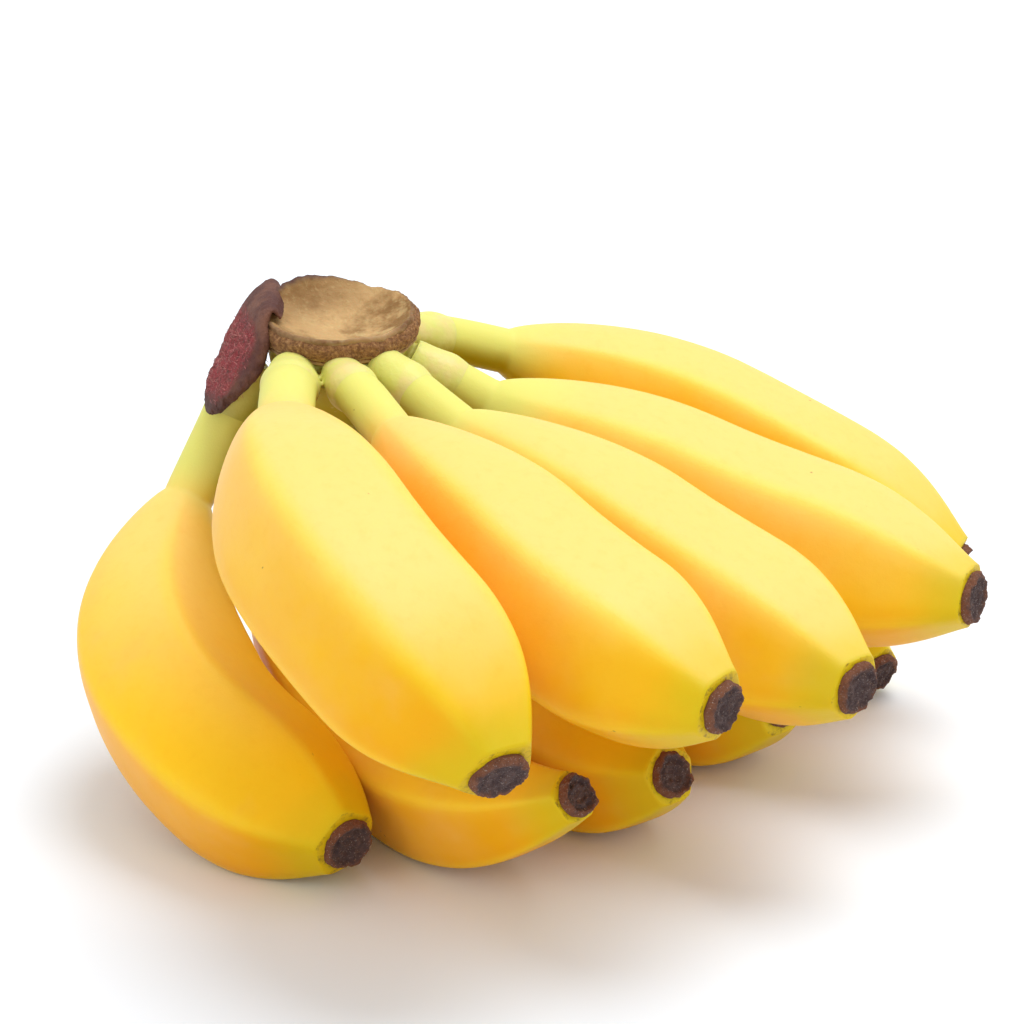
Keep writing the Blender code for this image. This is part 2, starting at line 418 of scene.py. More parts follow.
class StageLook(bpy.types.PropertyGroup):
    """The floor and the light."""

    floor_size: length_property("Floor size", "Side of the square floor", 8.0)
    floor: colour_property("Floor", "Plain pale floor", (0.87, 0.93, 1.0))


# ---------------------------------------------------------------------------------------------
# Banana skins


def direction(name, share):
    """The way a banana points at a share of its length."""
    weights = ((1 - share) ** 2, 2 * share * (1 - share), share**2)
    heading, pitch = (
        sum(weight * way[k] for weight, way in zip(weights, BANANAS[name][:3])) for k in (0, 1)
    )
    if name in FLOWER_WAYS:
        last_heading, last_pitch = FLOWER_WAYS[name]
        turned = max((share - FLOWER_TURN_START) / (1 - FLOWER_TURN_START), 0) ** FLOWER_TURN_POWER
        heading += turned * (last_heading - heading)
        pitch += turned * (last_pitch - pitch)
    heading, pitch = math.radians(heading), math.radians(pitch)
    level = math.cos(pitch)
    return Vector((level * math.cos(heading), level * math.sin(heading), math.sin(pitch)))


def middle_line(name):
    """Points, shares, and side, upward and forward vectors, from a banana's root to its flower end."""
    length = BANANAS[name].length * MM
    last = SKIN_RINGS - 1
    shares = [i / last for i in range(SKIN_RINGS)]
    points = [Vector()]
    for i in range(last):
        points.append(points[-1] + direction(name, (i + 0.5) / last) * (length / last))
    for point, share in zip(points, shares):
        point.z -= ROOT_DIPS.get(name, 0) * (1 - smoothstep(share, ROOT_DIP_START, ROOT_END))
    tangents = [direction(name, share) for share in shares]
    upright = round(UPRIGHT_SHARE * last)
    sides = [None] * SKIN_RINGS
    sides[upright] = tangents[upright].cross(Vector((0, 0, 1))).normalized()
    for i in range(upright + 1, SKIN_RINGS):
        sides[i] = tangents[i - 1].rotation_difference(tangents[i]) @ sides[i - 1]
    for i in range(upright - 1, -1, -1):
        sides[i] = tangents[i + 1].rotation_difference(tangents[i]) @ sides[i + 1]
    rises = [side.cross(tangent) for side, tangent in zip(sides, tangents)]
    return points, shares, sides, rises, tangents


def line_mesh(name):
    """The middle line as edges, with what the skin tree needs stored on its points."""
    points, shares, sides, rises, _ = middle_line(name)
    keep = [i for i, share in enumerate(shares) if share <= SKIN_END_SHARE]
    rows = [(points[i], shares[i], sides[i], rises[i], 1.0) for i in keep]
    point, share, side, rise, _ = rows[-1]
    for i in range(1, CAP_RINGS + 1):
        turn = math.pi / 2 * i / CAP_RINGS
        bulge = (points[keep[-1]] - points[keep[-1] - 1]) * (CAP_BULGE * math.sin(turn))
        rows.append((point + bulge, share, side, rise, max(math.cos(turn), 0.01)))
    mesh = bpy.data.meshes.new(name + "_skin")
    mesh.from_pydata([row[0] for row in rows], [(i, i + 1) for i in range(len(rows) - 1)], [])
    for label, kind, field, column in (
        ("middle", "FLOAT_VECTOR", "vector", 0),
        ("share", "FLOAT", "value", 1),
        ("side", "FLOAT_VECTOR", "vector", 2),
        ("rise", "FLOAT_VECTOR", "vector", 3),
        ("reach", "FLOAT", "value", 4),
    ):
        layer = mesh.attributes.new(label, kind, "POINT")
        layer.data.foreach_set(field, np.array([row[column] for row in rows], np.float32).ravel())
    return bpy.data.objects.new(name + "_skin", mesh)


def named(board, name, kind="FLOAT"):
    return board.node("GeometryNodeInputNamedAttribute", {"data_type": kind}, {"Name": name})


def stored(geometry, name, value, kind="FLOAT"):
    return geometry.node(
        "GeometryNodeStoreNamedAttribute",
        {"data_type": kind, "domain": "POINT"},
        {"Geometry": geometry, "Name": name, "Value": value},
    )


def new_geometry_tree(name, inputs):
    """A tree with named inputs. Returns it, its input wires, and the inputs' identifiers by name."""
    tree = bpy.data.node_groups.new(name, "GeometryNodeTree")
    tree.is_modifier = True
    tree.interface.new_socket("Geometry", in_out="INPUT", socket_type="NodeSocketGeometry")
    tree.interface.new_socket("Geometry", in_out="OUTPUT", socket_type="NodeSocketGeometry")
    identifiers = {}
    for label, kind in inputs.items():
        made = tree.interface.new_socket(label, in_out="INPUT", socket_type="NodeSocket" + kind)
        identifiers[label] = made.identifier
    entry = tree.nodes.new("NodeGroupInput")
    return tree, {socket.name: Wire(tree, socket) for socket in entry.outputs if socket.name}, identifiers


def close_tree(tree, geometry):
    """Ends a tree with real geometry."""
    real = geometry.node("GeometryNodeRealizeInstances", None, {"Geometry": geometry})
    leave = tree.nodes.new("NodeGroupOutput")
    tree.links.new(real.socket, leave.inputs["Geometry"])


def girth_field(share, sizes):
    """A banana's mean radius at each share of its length, and how far it has swelled there."""
    body = (share ** sizes["Taper"] - STALK_SHARE) / (1 - STALK_SHARE)
    swell = (body / SWELL_END).clamped() * (math.pi / 2)
    swell = swell.maths("SINE", swell) ** SWELL_POWER
    closing = ((body - CLOSE_START) / (1 - CLOSE_START)).clamped()
    fullness = (1 - closing**CLOSE_POWER) ** CLOSE_OUTER_POWER
    root = (share / STALK_ROOT_END).clamped() * (1 - STALK_ROOT_SHARE) + STALK_ROOT_SHARE
    stalk = sizes["Stalk Radius"] * root
    full = sizes["Girth"] * (fullness * (1 - FLOWER_END_SHARE) + FLOWER_END_SHARE)
    return stalk + (full - stalk) * swell, swell


def skin_tree():
    """Grows a banana's skin along its middle line: girth, five ridges, fine ridge lines, unevenness."""
    tree, inputs, identifiers = new_geometry_tree(
        "Banana skin",
        {
            "Girth": "Float",
            "Stalk Radius": "Float",
            "Taper": "Float",
            "Roll": "Float",
            "Ridge Line": "Float",
            "Unevenness": "Float",
            "Seed": "Float",
            "Skin": "Material",
        },
    )
    start = Wire(tree)
    rail = start.node("GeometryNodeMeshToCurve", None, {"Mesh": inputs["Geometry"]})
    circle = start.node("GeometryNodeCurvePrimitiveCircle", None, {"Resolution": SKIN_SIDES})
    index = start.node("GeometryNodeInputIndex")
    circle = stored(circle, "turn", index * (math.tau / SKIN_SIDES))
    tube = start.node(
        "GeometryNodeCurveToMesh",
        None,
        {"Curve": rail, "Profile Curve": circle, "Fill Caps": True},
    )

    share = named(start, "share")
    turn = named(start, "turn")
    middle = named(start, "middle", "FLOAT_VECTOR")
    radius, swell = girth_field(share, inputs)

    wander = middle.noise(24, 1.0, seed=inputs["Seed"]) - 0.5
    angle = turn - inputs["Roll"] + wander * RIDGE_WANDER
    total = None
    for side in range(RIDGES):
        facing = angle - math.tau * (side + 0.5) / RIDGES
        term = facing.maths("COSINE", facing).most(0.0) ** RIDGE_SHARPNESS
        total = term if total is None else total + term
    five_sided = total ** (-1 / RIDGE_SHARPNESS) / RIDGE_MEAN
    section = 1 + (five_sided - 1) * swell

    fraction = angle * (RIDGES / math.tau) + 0.5
    from_ridge = (fraction.maths("FRACT", fraction) - 0.5) * (math.tau / RIDGES)
    from_ridge = from_ridge.maths("ABSOLUTE", from_ridge)
    ridge = from_ridge.rise(RIDGE_LINE_WIDTH, 0.0) * swell * share.rise(1.0, 0.9)

    lumps = middle + start.node(
        "ShaderNodeCombineXYZ",
        None,
        {
            "X": turn.maths("COSINE", turn) * LUMP_REACH,
            "Y": turn.maths("SINE", turn) * LUMP_REACH,
            "Z": inputs["Seed"],
        },
    )
    uneven = (lumps.noise(45, 2.0) - 0.5) * inputs["Unevenness"] * swell
    reach = (radius * MM * section + ridge * inputs["Ridge Line"] + uneven) * named(start, "reach")
    outward = named(start, "rise", "FLOAT_VECTOR").sized(turn.maths("COSINE", turn))
    outward = outward + named(start, "side", "FLOAT_VECTOR").sized(turn.maths("SINE", turn))
    placed = start.node(
        "GeometryNodeSetPosition", None, {"Geometry": tube, "Position": middle + outward.sized(reach)}
    )
    placed = stored(placed, "ridge", ridge)
    placed = stored(placed, "seed", inputs["Seed"])
    smooth = start.node("GeometryNodeSetShadeSmooth", None, {"Geometry": placed})
    painted = start.node(
        "GeometryNodeSetMaterial", None, {"Geometry": smooth, "Material": inputs["Skin"]}
    )
    close_tree(tree, painted)
    return tree, identifiers


def grown(obj, tree, identifiers, values):
    """Runs a tree on an object and returns the result as a new plain mesh object of the same name."""
    modifier = obj.modifiers.new("grown", "NODES")
    modifier.node_group = tree
    for label, value in values.items():
        modifier[identifiers[label]] = value
    bpy.context.scene.collection.objects.link(obj)
    graph = bpy.context.evaluated_depsgraph_get()
    mesh = bpy.data.meshes.new_from_object(obj.evaluated_get(graph))
    name = obj.name
    bpy.data.objects.remove(obj)
    mesh.name = name
    outward_faces(mesh)
    return linked(name, mesh)


def outward_faces(mesh):
    body = bmesh.new()
    body.from_mesh(mesh)
    bmesh.ops.recalc_face_normals(body, faces=body.faces)
    body.to_mesh(mesh)
    body.free()


def mesh_points(mesh):
    points = np.empty(len(mesh.vertices) * 3, np.float32)
    mesh.vertices.foreach_get("co", points)
    return points.reshape(-1, 3)


def box_middle(points):
    return Vector((points.min(0) + points.max(0)) / 2)


def settle_in_box(obj, node):
    """Moves a skin so that its box's middle is its solid's. Returns how far it went."""
    low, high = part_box(node)
    shift = (low + high) / 2 - box_middle(mesh_points(obj.data))
    obj.data.transform(Matrix.Translation(shift))
    return shift


def press_on_surface(mesh):
    """What would reach through the surface lies flat on it."""
    points = mesh_points(mesh)
    points[:, 2] = np.maximum(points[:, 2], 0)
    mesh.vertices.foreach_set("co", points.ravel())
    mesh.update()


def skin_material(look):
    """Yellow, with a painted highlight above and painted shade below, green at both ends, with small dry
    flecks.
    """
    material, shader, start = new_material("banana_skin")
    place = start.node("ShaderNodeTexCoord", out=3)
    share = attribute(start, "share")
    ridge = attribute(start, "ridge")
    seed = attribute(start, "seed")
    normal = start.node("ShaderNodeNewGeometry", out=1)
    upward = normal.part(2)
    leftward = normal.part(0) * -1.0
    height = place.part(2)

    clouds = place.noise(26, 3.0, 0.55, seed=seed)
    patches = place.noise(60, 3.0, 0.6, seed=seed + 3)
    fine = place.noise(420, 4.0, 0.6, seed=seed)
    grain = place.noise(2600, 2.0, 0.6)

    # Painted highlight: pale on faces turned up, only on the bananas that stand high.
    pale = (upward + (clouds - 0.5) * 0.9).rise(0.05, 0.95) * height.rise(0.022, 0.058)
    # Painted shade: deeper orange on faces turned down.
    deep = (upward + (clouds - 0.5) * 0.7).rise(0.42, -0.35)
    # Random patches are real blotches. The leftward part is painted light: a pale warm tint on faces
    # turned left.
    blush_and_left_tint = (leftward + (patches - 0.5) * 1.4).rise(0.25, 0.95) + patches.rise(0.58, 0.78) * 0.4
    stalk = (share + (clouds - 0.5) * 0.06).rise(0.3, 0.17)
    # Painted shade: olive on the stalks' faces turned down.
    stalk_shade = (upward + (patches - 0.5) * 0.5).rise(0.35, -0.5)
    tip = (share + (patches - 0.5) * 0.07 - upward * 0.02).rise(0.885, 0.975)
    dry_edge = (share + (place.noise(700, 3.0, 0.7) - 0.5) * 0.006).rise(0.9785, 0.981)
    flecks = place.noise(330, 2.0, 0.7, seed=seed + 7).rise(0.735, 0.77)
    colour = layered(
        start,
        look.ripe,
        (pale * 0.85, look.pale),
        (deep * 0.9, look.deep),
        (blush_and_left_tint.clamped() * 0.36, look.blush_and_left_tint),
        # Painted highlight: a brighter yellow along the ridges.
        (ridge * 0.4, paint(255, 218, 50)),
        # The skin's own fine mottling, in the deep yellow.
        (fine.rise(0.45, 0.8) * 0.12, look.deep),
        (stalk * 0.92, layered(start, look.lime, (stalk_shade, look.olive))),
        (tip * 0.55, look.tip_green),
        (dry_edge, look.fleck),
        (flecks * 0.55, look.fleck),
    )
    feed(
        shader,
        Base_Color=colour,
        Roughness=0.40 + (clouds - 0.5) * 0.12 + stalk * 0.06,
        Specular_IOR_Level=0.12,
        Subsurface_Weight=0.15,
        Subsurface_Radius=(1.0, 0.45, 0.12),
        Subsurface_Scale=0.004,
        Normal=bumped(start, grain * 0.25 + fine * 0.6 + patches * 0.8, 0.22, 0.0006),
    )
    return material


# ---------------------------------------------------------------------------------------------
# Grids turned into closed skins


def grid_object(name, points, material, attributes=None, looped=False):
    """A closed skin of rows of points, each row a ring.

    The first and last rows are each closed by a face, or joined to each other where it is looped.
    """
    rows, columns = points.shape[:2]
    near = np.arange(rows * columns).reshape(rows, columns)
    far = np.roll(near, -1, 0)
    quads = np.stack([near, np.roll(near, -1, 1), np.roll(far, -1, 1), far], -1)
    if looped:
        faces = quads.reshape(-1, 4).tolist()
    else:
        faces = quads[:-1].reshape(-1, 4).tolist() + [near[0].tolist(), near[-1].tolist()]
    mesh = bpy.data.meshes.new(name)
    mesh.from_pydata(points.reshape(-1, 3).tolist(), [], faces)
    for label, values in (attributes or {}).items():
        layer = mesh.attributes.new(label, "FLOAT", "POINT")
        layer.data.foreach_set("value", np.asarray(values, np.float32).ravel())
    outward_faces(mesh)
    mesh.shade_smooth()
    mesh.materials.append(material)
    return linked(name, mesh)


def linked(name, data):
    """A new object of a mesh, a light or a camera, put in the scene."""
    obj = bpy.data.objects.new(name, data)
    bpy.context.scene.collection.objects.link(obj)
    return obj


def smooth_rows(rows, count):
    """Rows of numbers, run through evenly by a Catmull-Rom curve."""
    rows = np.asarray(rows, float)
    padded = np.vstack([2 * rows[0] - rows[1], rows, 2 * rows[-1] - rows[-2]])
    made = []
    for place in np.linspace(0, len(rows) - 1, count):
        i = min(int(place), len(rows) - 2)
        t = place - i
        a, b, c, d = padded[i : i + 4]
        made.append(
            0.5 * (2 * b + (c - a) * t + (2 * a - 5 * b + 4 * c - d) * t * t
                   + (3 * b - a - 3 * c + d) * t**3)
        )
    return np.array(made)


def bumps_at(point, size, seed, octaves=3):
    """Fractal noise, about -1 to 1, with hollows and swellings of a given size."""
    return noise.fractal(
        Vector(point) / size + Vector((seed * 3.7, seed * 1.3, seed * 2.1)), 0.7, 2.0, octaves
    )


def crown_middle():
    """The middle of the cut face, from the highest corner of the crown's solid."""
    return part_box("crown")[1] - CROWN_TOP_REACH


def crown_matrix():
    return (
        Matrix.Translation(crown_middle())
        @ Matrix.Rotation(CROWN_TILT, 4, "X")
        @ Matrix.Diagonal((1, CROWN_DEPTH_SHARE, 1, 1))
    )


def falloff(angle, centre, width):
    """1 at the centre angle, and soft to 0 away from it, in degrees."""
    away = (angle - centre + 180) % 360 - 180
    return math.exp(-((away / width) ** 2))


def rim_shape(degrees, look):
    """How far the cut rim stands up and out at an angle round the crown."""
    turn = math.radians(degrees)
    wave = noise.noise(Vector((math.cos(turn), math.sin(turn), 3)) * RIM_WAVE_RATE)
    raised = sum(falloff(degrees, centre, spread) * rise for centre, spread, rise in RIM_RISES)
    up = wave * look.rim_waves + (raised - RIM_LOWERED) * MM
    out = RIM_FRAYING * noise.noise(Vector((degrees / RIM_FRAY_DEGREES, 5, 1)))
    return up, out


def turned_rows(outline, count, columns, look, rim_radius, roughness, seed):
    """An outline turned about the crown's axis, with the rim's waves and a rough surface."""
    profile = smooth_rows(outline, count) * MM
    matrix = crown_matrix()
    points = np.empty((count, columns, 3))
    for j in range(columns):
        turn = math.tau * j / columns
        up, out = rim_shape(math.degrees(turn), look)
        for i, (radius, height) in enumerate(profile):
            radius = max(radius, AXIS_RADIUS)
            share = clamp((radius / MM - RIM_START) / (rim_radius - RIM_START)) ** 2
            reach = radius + out * share
            point = Vector((reach * math.cos(turn), reach * math.sin(turn), height + up * share))
            rough = bumps_at(point, CRUST_SIZE, seed) * roughness
            point.z += rough * 0.7
            point.x += rough * 0.6 * math.cos(turn) * share
            point.y += rough * 0.6 * math.sin(turn) * share
            points[i, j] = matrix @ point
    return points


def cut_face_material(look):
    """Dried tan flesh with darker clouds, pale fibres, a dark rim and painted shade on one side."""
    material, shader, start = new_material("crown_cut_face")
    place = start.node("ShaderNodeTexCoord", out=3)
    clouds = place.noise(110, 4.0, 0.6)
    fibres = place.noise(900, 4.0, 0.7)
    colour = layered(
        start,
        look.cut_tan,
        (clouds.rise(0.42, 0.66), look.cut_dark),
        (place.noise(240, 3.0, 0.6).rise(0.5, 0.7) * 0.5, paint(212, 182, 126)),
        # Painted shade on one side of the hollow cut.
        (attribute(start, "shade") * 0.8, look.cut_dark),
        (fibres.rise(0.5, 0.75) * 0.2, paint(226, 204, 150)),
        # A dark rim, darker still on the side with painted shade.
        (attribute(start, "edge"), paint(78, 44, 40)),
    )
    feed(
        shader,
        Base_Color=colour,
        Roughness=0.62 + fibres * 0.2,
        Subsurface_Weight=0.1,
        Subsurface_Scale=0.002,
        Normal=bumped(start, clouds * 1.2 + fibres, 0.5, 0.0006),
    )
    return material


def cork_material(look):
    """Coarse brown cork with pale dry lines."""
    material, shader, start = new_material("crown_cork")
    place = start.node("ShaderNodeTexCoord", out=3)
    grain = place.noise(1500, 4.0, 0.75)
    clouds = place.noise(260, 3.0, 0.6)
    colour = layered(
        start,
        paint(112, 72, 40),
        (grain.rise(0.36, 0.62), look.cork),
        (grain.rise(0.58, 0.74) * 0.8, look.cork_pale),
        (clouds.rise(0.5, 0.7) * 0.35, paint(112, 70, 44)),
        (attribute(start, "edge") * 0.85, look.cork_pale),
    )
    feed(
        shader,
        Base_Color=colour,
        Roughness=0.86,
        Normal=bumped(start, grain + clouds * 0.5, 0.8, 0.0007),
    )
    return material


def base_material(look):
    """Stalk colours, with painted shade on faces turned down and low on the base, and pale scars near the
    band.
    """
    material, shader, start = new_material("crown_base_flesh")
    place = start.node("ShaderNodeTexCoord", out=3)
    clouds = place.noise(130, 3.0, 0.6)
    fine = place.noise(700, 3.0, 0.6)
    level = attribute(start, "level")
    upward = start.node("ShaderNodeNewGeometry", out=1).part(2)
    colour = layered(
        start,
        look.fresh_pale,
        # Painted shade on faces turned down.
        ((upward + (clouds - 0.5) * 0.5).rise(0.35, -0.5), look.root_painted_shade),
        (clouds.rise(0.45, 0.7) * level.rise(0.5, 0.8) * 0.6, paint(232, 204, 146)),
        # Painted shade: darker olive low on the base, under the band.
        (level.rise(0.45, 0.0) * 0.7, paint(150, 150, 44)),
        (fine.rise(0.62, 0.78) * 0.3, paint(236, 216, 168)),
    )
    feed(
        shader,
        Base_Color=colour,
        Roughness=0.5,
        Subsurface_Weight=0.25,
        Subsurface_Radius=(1.0, 0.6, 0.3),
        Subsurface_Scale=0.003,
        Normal=bumped(start, fine + clouds, 0.3, 0.0005),
    )
    return material


def flap_material(look):
    """Dark dried skin with a torn red patch."""
    material, shader, start = new_material("crown_flap_dried")
    place = start.node("ShaderNodeTexCoord", out=3)
    torn = attribute(start, "torn")
    grain = place.noise(1100, 4.0, 0.75)
    clouds = place.noise(170, 4.0, 0.6)
    fibres = place.noise(3200, 3.0, 0.7)
    colour = layered(
        start,
        look.maroon,
        (clouds.rise(0.35, 0.68), paint(120, 76, 58)),
        (attribute(start, "along").rise(0.45, 0.9) * 0.7, paint(72, 50, 50)),
        (torn * grain.rise(0.3, 0.6), look.red_fibre),
        (torn * fibres.rise(0.55, 0.72) * 0.8, paint(206, 140, 136)),
        (grain.rise(0.66, 0.8) * 0.4, paint(168, 126, 108)),
    )
    feed(
        shader,
        Base_Color=colour,
        Roughness=0.72,
        Normal=bumped(start, grain + fibres * torn, 0.75, 0.0008),
    )
    return material


def stub_material(look):
    """Dark crinkled fibres with a browner rim."""
    material, shader, start = new_material("dried_flower_end")
    place = start.node("ShaderNodeTexCoord", out=3)
    seed = attribute(start, "seed")
    grain = place.noise(1300, 4.0, 0.75, seed=seed)
    clouds = place.noise(420, 3.0, 0.65, seed=seed)
    fibres = place.noise(2800, 3.0, 0.7, seed=seed)
    colour = layered(
        start,
        look.stub_dark,
        (clouds.rise(0.4, 0.65), paint(94, 70, 64)),
        ((attribute(start, "radial") + (clouds - 0.5) * 0.7).rise(0.74, 0.98), look.stub_rim),
        (grain.rise(0.56, 0.7) * 0.6, paint(150, 104, 74)),
        (fibres.rise(0.57, 0.7) * 0.8, paint(186, 168, 156)),
        (grain.rise(0.42, 0.26), paint(30, 20, 20)),
    )
    feed(
        shader,
        Base_Color=colour,
        Roughness=0.8,
        Normal=bumped(start, grain + fibres * 0.4, 0.9, 0.0008),
    )
    return material


# Height and radius of a dried flower end, from under the skin to the middle of its end face.
STUB_OUTLINE = ((-2.2, 0.84), (-1.4, 0.9), (-1.05, 0.99), (-0.7, 1.03), (-0.4, 1.0), (-0.16, 0.95),
                (-0.02, 0.88), (-0.06, 0.8), (-0.24, 0.73), (-0.34, 0.63), (-0.22, 0.52), (-0.22, 0.4),
                (-0.4, 0.27), (-0.36, 0.12), (-0.3, 0.01))
STUB_SUNK = 0.6 * MM  # keeps the dried end inside its solid's length
STUB_ROWS = 42
STUB_COLUMNS = 96
STUB_GIRTH_SHARE = 0.96  # of the flower end's radius
STUB_LOBES = ((0.09, 1.1), (0.07, 3.1))  # share of the radius that each stands out by, and its rate
STUB_TORN = 0.5 * MM  # how unevenly its edge is torn off
STUB_CRUST = 0.32 * MM  # height of its rough surface
STUB_CRUST_SIZE = 1.3 * MM
STUB_CRUST_SUNK = 0.25 * MM


def dried_end(name, shift, look, material, seed):
    """The crinkled, torn stub that the flower left at a banana's end."""
    points, _, sides, rises, tangents = middle_line(name)
    side, rise, tangent = sides[-1], rises[-1], tangents[-1]
    end = points[-1] + shift - tangent * STUB_SUNK
    radius = BANANAS[name].girth * FLOWER_END_SHARE * STUB_GIRTH_SHARE * MM
    profile = smooth_rows(STUB_OUTLINE, STUB_ROWS)
    made = np.empty((STUB_ROWS, STUB_COLUMNS, 3))
    radial = np.empty((STUB_ROWS, STUB_COLUMNS))
    for j in range(STUB_COLUMNS):
        turn = math.tau * j / STUB_COLUMNS
        outward = rise * math.cos(turn) + side * math.sin(turn)
        ring = Vector((math.cos(turn), math.sin(turn), seed))
        lobes = sum(size * noise.noise(ring * rate) for size, rate in STUB_LOBES)
        torn = noise.noise(ring * 2.3 + Vector((9, 0, 0)))
        for i, (height, share) in enumerate(profile):
            outer = clamp((share - 0.3) / 0.6)  # 0 in the middle, 1 at the edge
            free = clamp((height + 1.3) / 0.8)  # 0 under the skin, 1 where it stands out
            reach = max(radius * share * (1 + lobes * outer * (0.4 + 0.6 * free)), 0.02 * MM)
            point = end + tangent * (height * look.stub_length + free * torn * STUB_TORN * outer)
            point += outward * reach
            rough = bumps_at(point, STUB_CRUST_SIZE, seed, 4) * STUB_CRUST * free
            point += tangent * (rough - STUB_CRUST_SUNK * free)
            point += outward * (rough * 0.6 * outer)
            made[i, j] = point
            radial[i, j] = share
    attributes = {"radial": radial, "seed": np.full(radial.shape, seed)}
    return grid_object(name + "_dried_end", made, material, attributes)


# ---------------------------------------------------------------------------------------------
# Crown pieces


def make_cut_face(look):
    """The hollow cut, dark along its rim, with painted shade on one side that also darkens the rim there.
    """
    rows = 110
    columns = 220
    points = turned_rows(CUT_OUTLINE, rows, columns, look, CUT_RIM_RADIUS, CUT_CRUST, 1)
    profile = smooth_rows(CUT_OUTLINE, rows)
    edge = np.empty((rows, columns))
    shade = np.empty((rows, columns))
    rim_row = int(profile[:, 1].argmax())
    for j in range(columns):
        # Painted shade: one side of the cut face is darkened, and its dark rim reaches further in there.
        shaded_side = falloff(360 * j / columns, PAINTED_SHADE_ANGLE, PAINTED_SHADE_SPREAD)
        dark_start = RIM_DARK[0] - RIM_DARK_WIDER * shaded_side
        for i, (radius, _) in enumerate(profile):
            near_rim = 1.0 if i > rim_row else smoothstep(radius, dark_start, RIM_DARK[1])
            shade[i, j] = shaded_side * smoothstep(radius, *PAINTED_SHADE_RADII) * (1 - near_rim)
            edge[i, j] = near_rim * (0.4 + 0.6 * shaded_side)
    attributes = {"edge": edge, "shade": shade}
    return grid_object("crown_cut_face", points, cut_face_material(look), attributes)


def make_cork_band(look):
    """The corky ring round the cut, with two paler lines along it."""
    rows = 64
    columns = 240
    outline = BAND_OUTLINE + (BAND_OUTLINE[0],)
    points = turned_rows(outline, rows, columns, look, BAND_RIM_RADIUS, BAND_CRUST, 2)[:-1]
    heights = smooth_rows(outline, rows)[:-1, 1]
    edge = np.zeros(points.shape[:2])
    for line_height, reach, strength in BAND_LINES:
        edge += strength * np.maximum(0.0, 1 - abs(heights - line_height) / reach)[:, None]
    return grid_object("crown_cork_band", points, cork_material(look), {"edge": edge}, looped=True)


def root_rings(name, shift):
    """Rings round the root of a stalk, swollen at its joint and sinking into its skin at the end."""
    points, shares, sides, rises, _ = middle_line(name)
    rings = []
    for point, share, side, rise in zip(points, shares, sides, rises):
        if share > ROOT_END:
            break
        swollen = JOINT_SWELL * math.exp(-(((share - JOINT_SHARE) / JOINT_SPREAD) ** 2))
        swollen -= ROOT_SUNK * smoothstep(share, *ROOT_SINKING)
        widened = STALK_ROOT_SHARE + (1 - STALK_ROOT_SHARE) * min(share / STALK_ROOT_END, 1)
        reach = (BANANAS[name].stalk * widened + ROOT_SKIN + swollen) * MM
        rings.append([
            point + shift + (rise * math.cos(turn) + side * math.sin(turn)) * reach
            for turn in np.linspace(0, math.tau, ROOT_SIDES, endpoint=False)
        ])
    return np.array(rings)


def make_base(look, shifts):
    """The flesh under the band, fused with the roots of the stalks."""
    material = base_material(look)
    rows = 60
    columns = 120
    body = turned_rows(BASE_OUTLINE, rows, columns, look, BAND_RIM_RADIUS, BASE_CRUST, 3)
    parts = [grid_object("crown_base", body, material)]
    for name, shift in shifts.items():
        parts.append(grid_object("root_" + name, root_rings(name, shift), material))
    base = parts[0]
    bpy.context.view_layer.objects.active = base
    with bpy.context.temp_override(active_object=base, selected_editable_objects=parts):
        bpy.ops.object.join()
    remesh = base.modifiers.new("fused", "REMESH")
    remesh.mode = "VOXEL"
    remesh.voxel_size = BASE_VOXEL
    remesh.use_smooth_shade = True
    soften = base.modifiers.new("softened", "SMOOTH")
    soften.factor = 0.5
    soften.iterations = 9
    graph = bpy.context.evaluated_depsgraph_get()
    mesh = bpy.data.meshes.new_from_object(base.evaluated_get(graph))
    bpy.data.objects.remove(base)
    mesh.name = "crown_base"
    inverse = crown_matrix().inverted()
    level = [clamp(1.24 + (inverse @ vertex.co).z / LEVEL_HEIGHT) for vertex in mesh.vertices]
    layer = mesh.attributes.new("level", "FLOAT", "POINT")
    layer.data.foreach_set("value", np.array(level, np.float32))
    mesh.shade_smooth()
    if not mesh.materials:
        mesh.materials.append(material)
    return linked("crown_base", mesh)


def superellipse(value, size):
    """A sine or cosine, squared off by the flap's roundness, times half a size."""
    return math.copysign(abs(value) ** FLAP_ROUNDNESS, value) * size / 2


